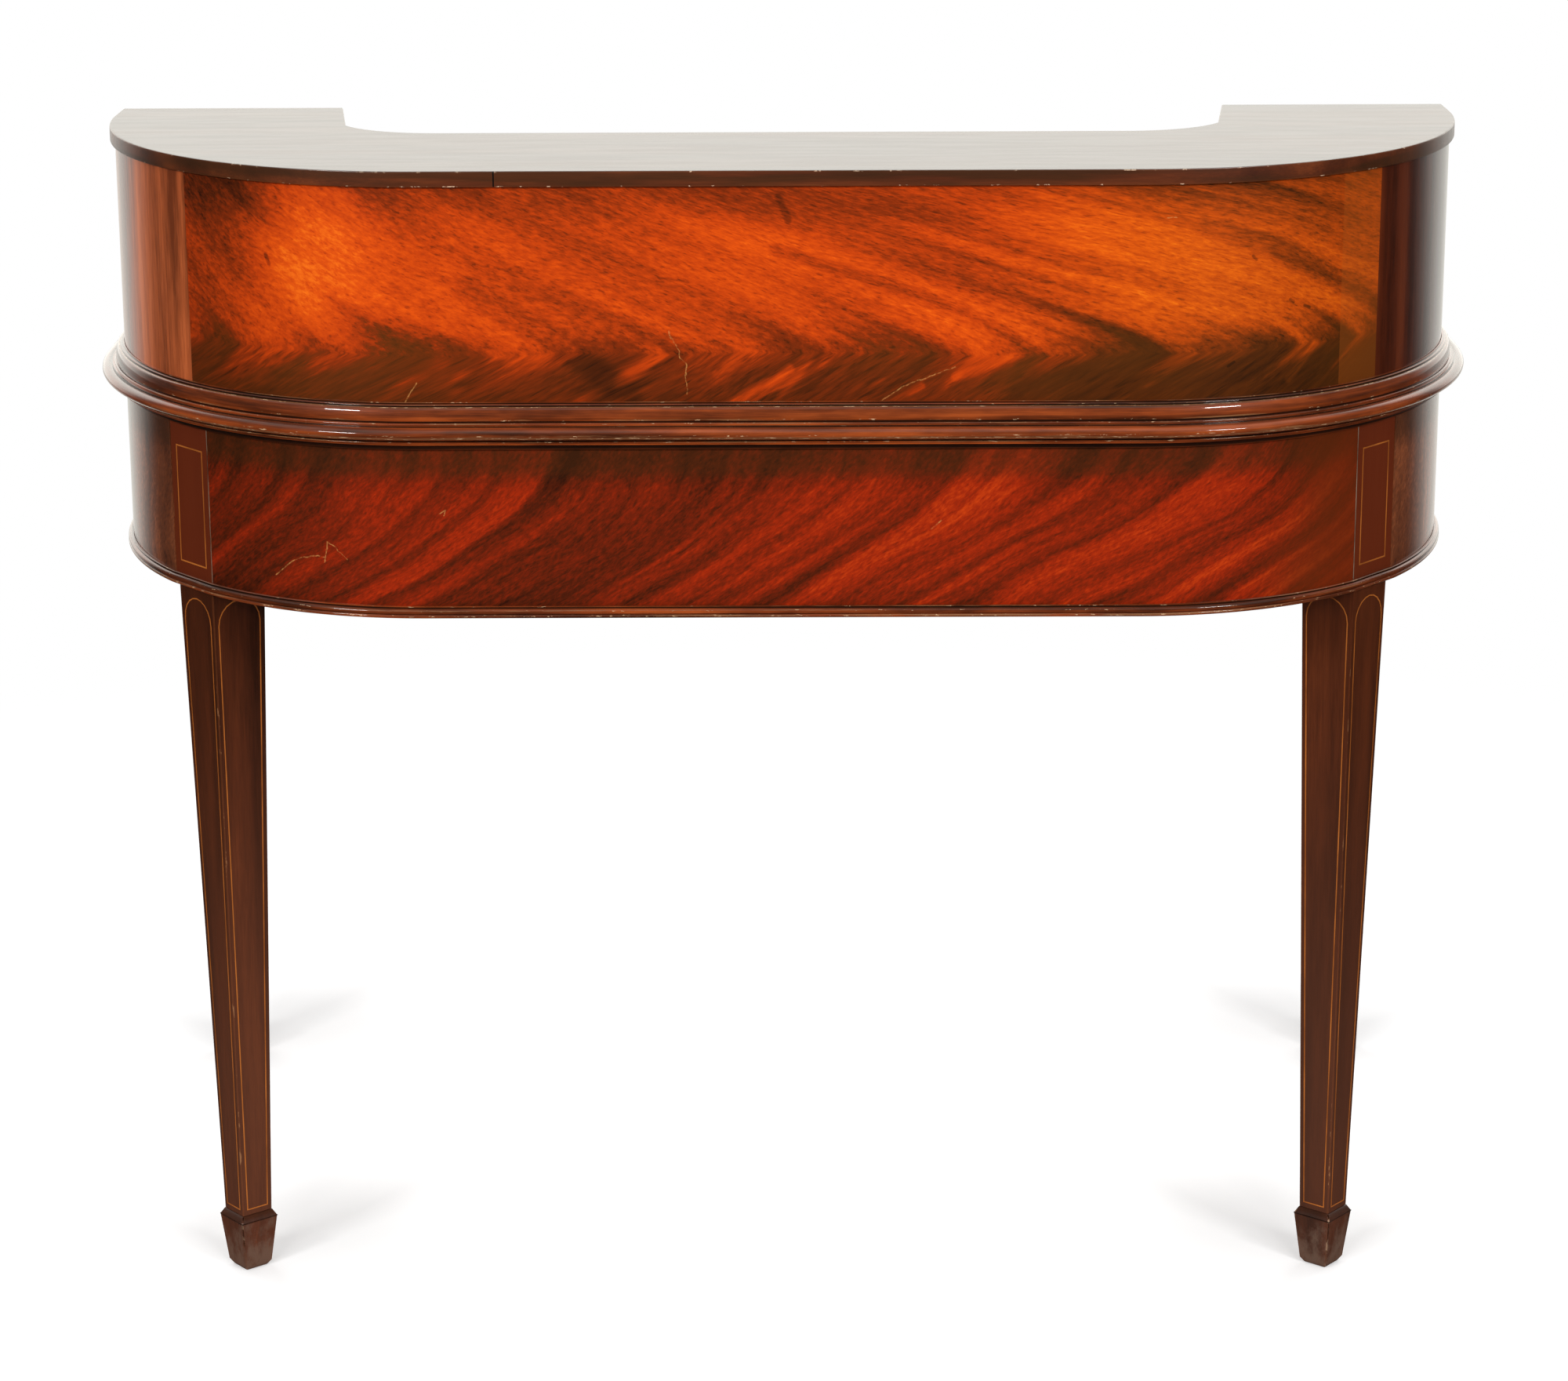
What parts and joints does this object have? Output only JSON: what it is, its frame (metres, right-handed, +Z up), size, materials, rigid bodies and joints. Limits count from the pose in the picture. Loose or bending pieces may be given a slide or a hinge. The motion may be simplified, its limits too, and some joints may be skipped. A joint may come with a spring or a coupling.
{
  "type": "carlton house desk",
  "caption": "Bow-cornered writing desk on tapered spade-foot legs, with a U-shaped gallery of drawers, hollow cupboards and sloping letter lids round a hinged leather slope.",
  "frame": {"origin": "on the floor, under the middle of the desk's bounding box", "axes": "+Z up, +X along the desk to the sitter's right, +Y from the sitter towards the bow-cornered back"},
  "size_m": [1.165, 0.699, 0.961],
  "materials": {
    "flame_mahogany": "french polish over crotch-figured mahogany veneer",
    "solid_mahogany": "dark french polish, worn along the edges",
    "oak_lining": "bare, aged",
    "green_leather": "polished skiver with gilt tooling",
    "turned_brass": "aged lacquer"
  },
  "bodies": {
    "carcase": {"leg_rear_right": "solid_mahogany", "leg_rear_left": "solid_mahogany", "leg_front_right": "solid_mahogany", "leg_front_left": "solid_mahogany", "spade_foot_rear_right": "solid_mahogany", "spade_foot_rear_left": "solid_mahogany", "spade_foot_front_right": "solid_mahogany", "spade_foot_front_left": "solid_mahogany", "back_apron": "flame_mahogany", "side_apron_right": "flame_mahogany", "side_apron_left": "flame_mahogany", "front_rail": "solid_mahogany", "front_divider_right": "solid_mahogany", "front_divider_left": "solid_mahogany", "inner_bearer_right": "oak_lining", "inner_bearer_left": "oak_lining", "outer_bearer_right": "oak_lining", "outer_bearer_left": "oak_lining", "lower_bead": "solid_mahogany", "writing_board": "solid_mahogany", "slope_bed": "solid_mahogany", "board_edge_moulding": "solid_mahogany", "gallery_floor": "oak_lining", "gallery_top": "solid_mahogany", "gallery_wall": "flame_mahogany", "gallery_foot_moulding": "solid_mahogany", "wing_case_right": "flame_mahogany", "wing_case_left": "flame_mahogany", "bank_post_right": "solid_mahogany", "bank_post_left": "solid_mahogany", "bank_partition_right": "solid_mahogany", "bank_partition_left": "solid_mahogany", "bank_divider": "solid_mahogany", "letter_box_right": "flame_mahogany", "letter_box_left": "flame_mahogany"},
    "frieze_drawer_left": {"frieze_drawer_front_left": "flame_mahogany", "frieze_drawer_box_left": "oak_lining", "frieze_knob_left": "turned_brass"},
    "frieze_drawer_centre": {"frieze_drawer_front_centre": "flame_mahogany", "frieze_drawer_box_centre": "oak_lining", "frieze_knob_centre_left": "turned_brass", "frieze_knob_centre_right": "turned_brass"},
    "frieze_drawer_right": {"frieze_drawer_front_right": "flame_mahogany", "frieze_drawer_box_right": "oak_lining", "frieze_knob_right": "turned_brass"},
    "bank_drawer_lower_left": {"bank_drawer_lower_left": "flame_mahogany", "bank_knob_lower_left": "turned_brass"},
    "bank_drawer_lower_right": {"bank_drawer_lower_right": "flame_mahogany", "bank_knob_lower_right": "turned_brass"},
    "bank_drawer_upper_left": {"bank_drawer_upper_left": "flame_mahogany", "bank_knob_upper_left": "turned_brass"},
    "bank_drawer_upper_right": {"bank_drawer_upper_right": "flame_mahogany", "bank_knob_upper_right": "turned_brass"},
    "corner_door_left": {"corner_door_left": "flame_mahogany"},
    "corner_door_right": {"corner_door_right": "flame_mahogany"},
    "letter_lid_left": {"letter_lid_left": "flame_mahogany"},
    "letter_lid_right": {"letter_lid_right": "flame_mahogany"},
    "writing_slope": {"writing_slope": "solid_mahogany", "slope_leather": "green_leather"},
    "slope_stay": {"slope_stay": "oak_lining"}
  },
  "joints": [
    {"name": "frieze_drawer_left_slide", "type": "slide", "parent": "carcase", "child": "frieze_drawer_left", "axis": [0, -1, 0], "range_m": [0, 0.3]},
    {"name": "frieze_drawer_centre_slide", "type": "slide", "parent": "carcase", "child": "frieze_drawer_centre", "axis": [0, -1, 0], "range_m": [0, 0.34]},
    {"name": "frieze_drawer_right_slide", "type": "slide", "parent": "carcase", "child": "frieze_drawer_right", "axis": [0, -1, 0], "range_m": [0, 0.3]},
    {"name": "bank_drawer_lower_left_slide", "type": "slide", "parent": "carcase", "child": "bank_drawer_lower_left", "axis": [0, -1, 0], "range_m": [0, 0.1]},
    {"name": "bank_drawer_lower_right_slide", "type": "slide", "parent": "carcase", "child": "bank_drawer_lower_right", "axis": [0, -1, 0], "range_m": [0, 0.1]},
    {"name": "bank_drawer_upper_left_slide", "type": "slide", "parent": "carcase", "child": "bank_drawer_upper_left", "axis": [0, -1, 0], "range_m": [0, 0.1]},
    {"name": "bank_drawer_upper_right_slide", "type": "slide", "parent": "carcase", "child": "bank_drawer_upper_right", "axis": [0, -1, 0], "range_m": [0, 0.1]},
    {"name": "corner_door_left_hinge", "type": "hinge", "parent": "carcase", "child": "corner_door_left", "pos_m": [-0.285, 0.121, 0.859], "axis": [0, 0, 1], "range_deg": [0, 95]},
    {"name": "corner_door_right_hinge", "type": "hinge", "parent": "carcase", "child": "corner_door_right", "pos_m": [0.285, 0.121, 0.859], "axis": [0, 0, -1], "range_deg": [0, 95]},
    {"name": "letter_lid_left_hinge", "type": "hinge", "parent": "carcase", "child": "letter_lid_left", "pos_m": [-0.4725, -0.0425, 0.882], "axis": [-1, 0, 0], "range_deg": [0, 80]},
    {"name": "letter_lid_right_hinge", "type": "hinge", "parent": "carcase", "child": "letter_lid_right", "pos_m": [0.4725, -0.0425, 0.882], "axis": [-1, 0, 0], "range_deg": [0, 80]},
    {"name": "writing_slope_hinge", "type": "hinge", "parent": "carcase", "child": "writing_slope", "pos_m": [0, -0.29, 0.762], "axis": [1, 0, 0], "range_deg": [0, 25]},
    {"name": "slope_stay_hinge", "type": "hinge", "parent": "writing_slope", "child": "slope_stay", "pos_m": [0, -0.15, 0.7525], "axis": [1, 0, 0], "range_deg": [-50, 0]}
  ],
  "couplings": [
    {"joint": "slope_stay_hinge", "follows": "writing_slope_hinge", "ratio": -2}
  ]
}
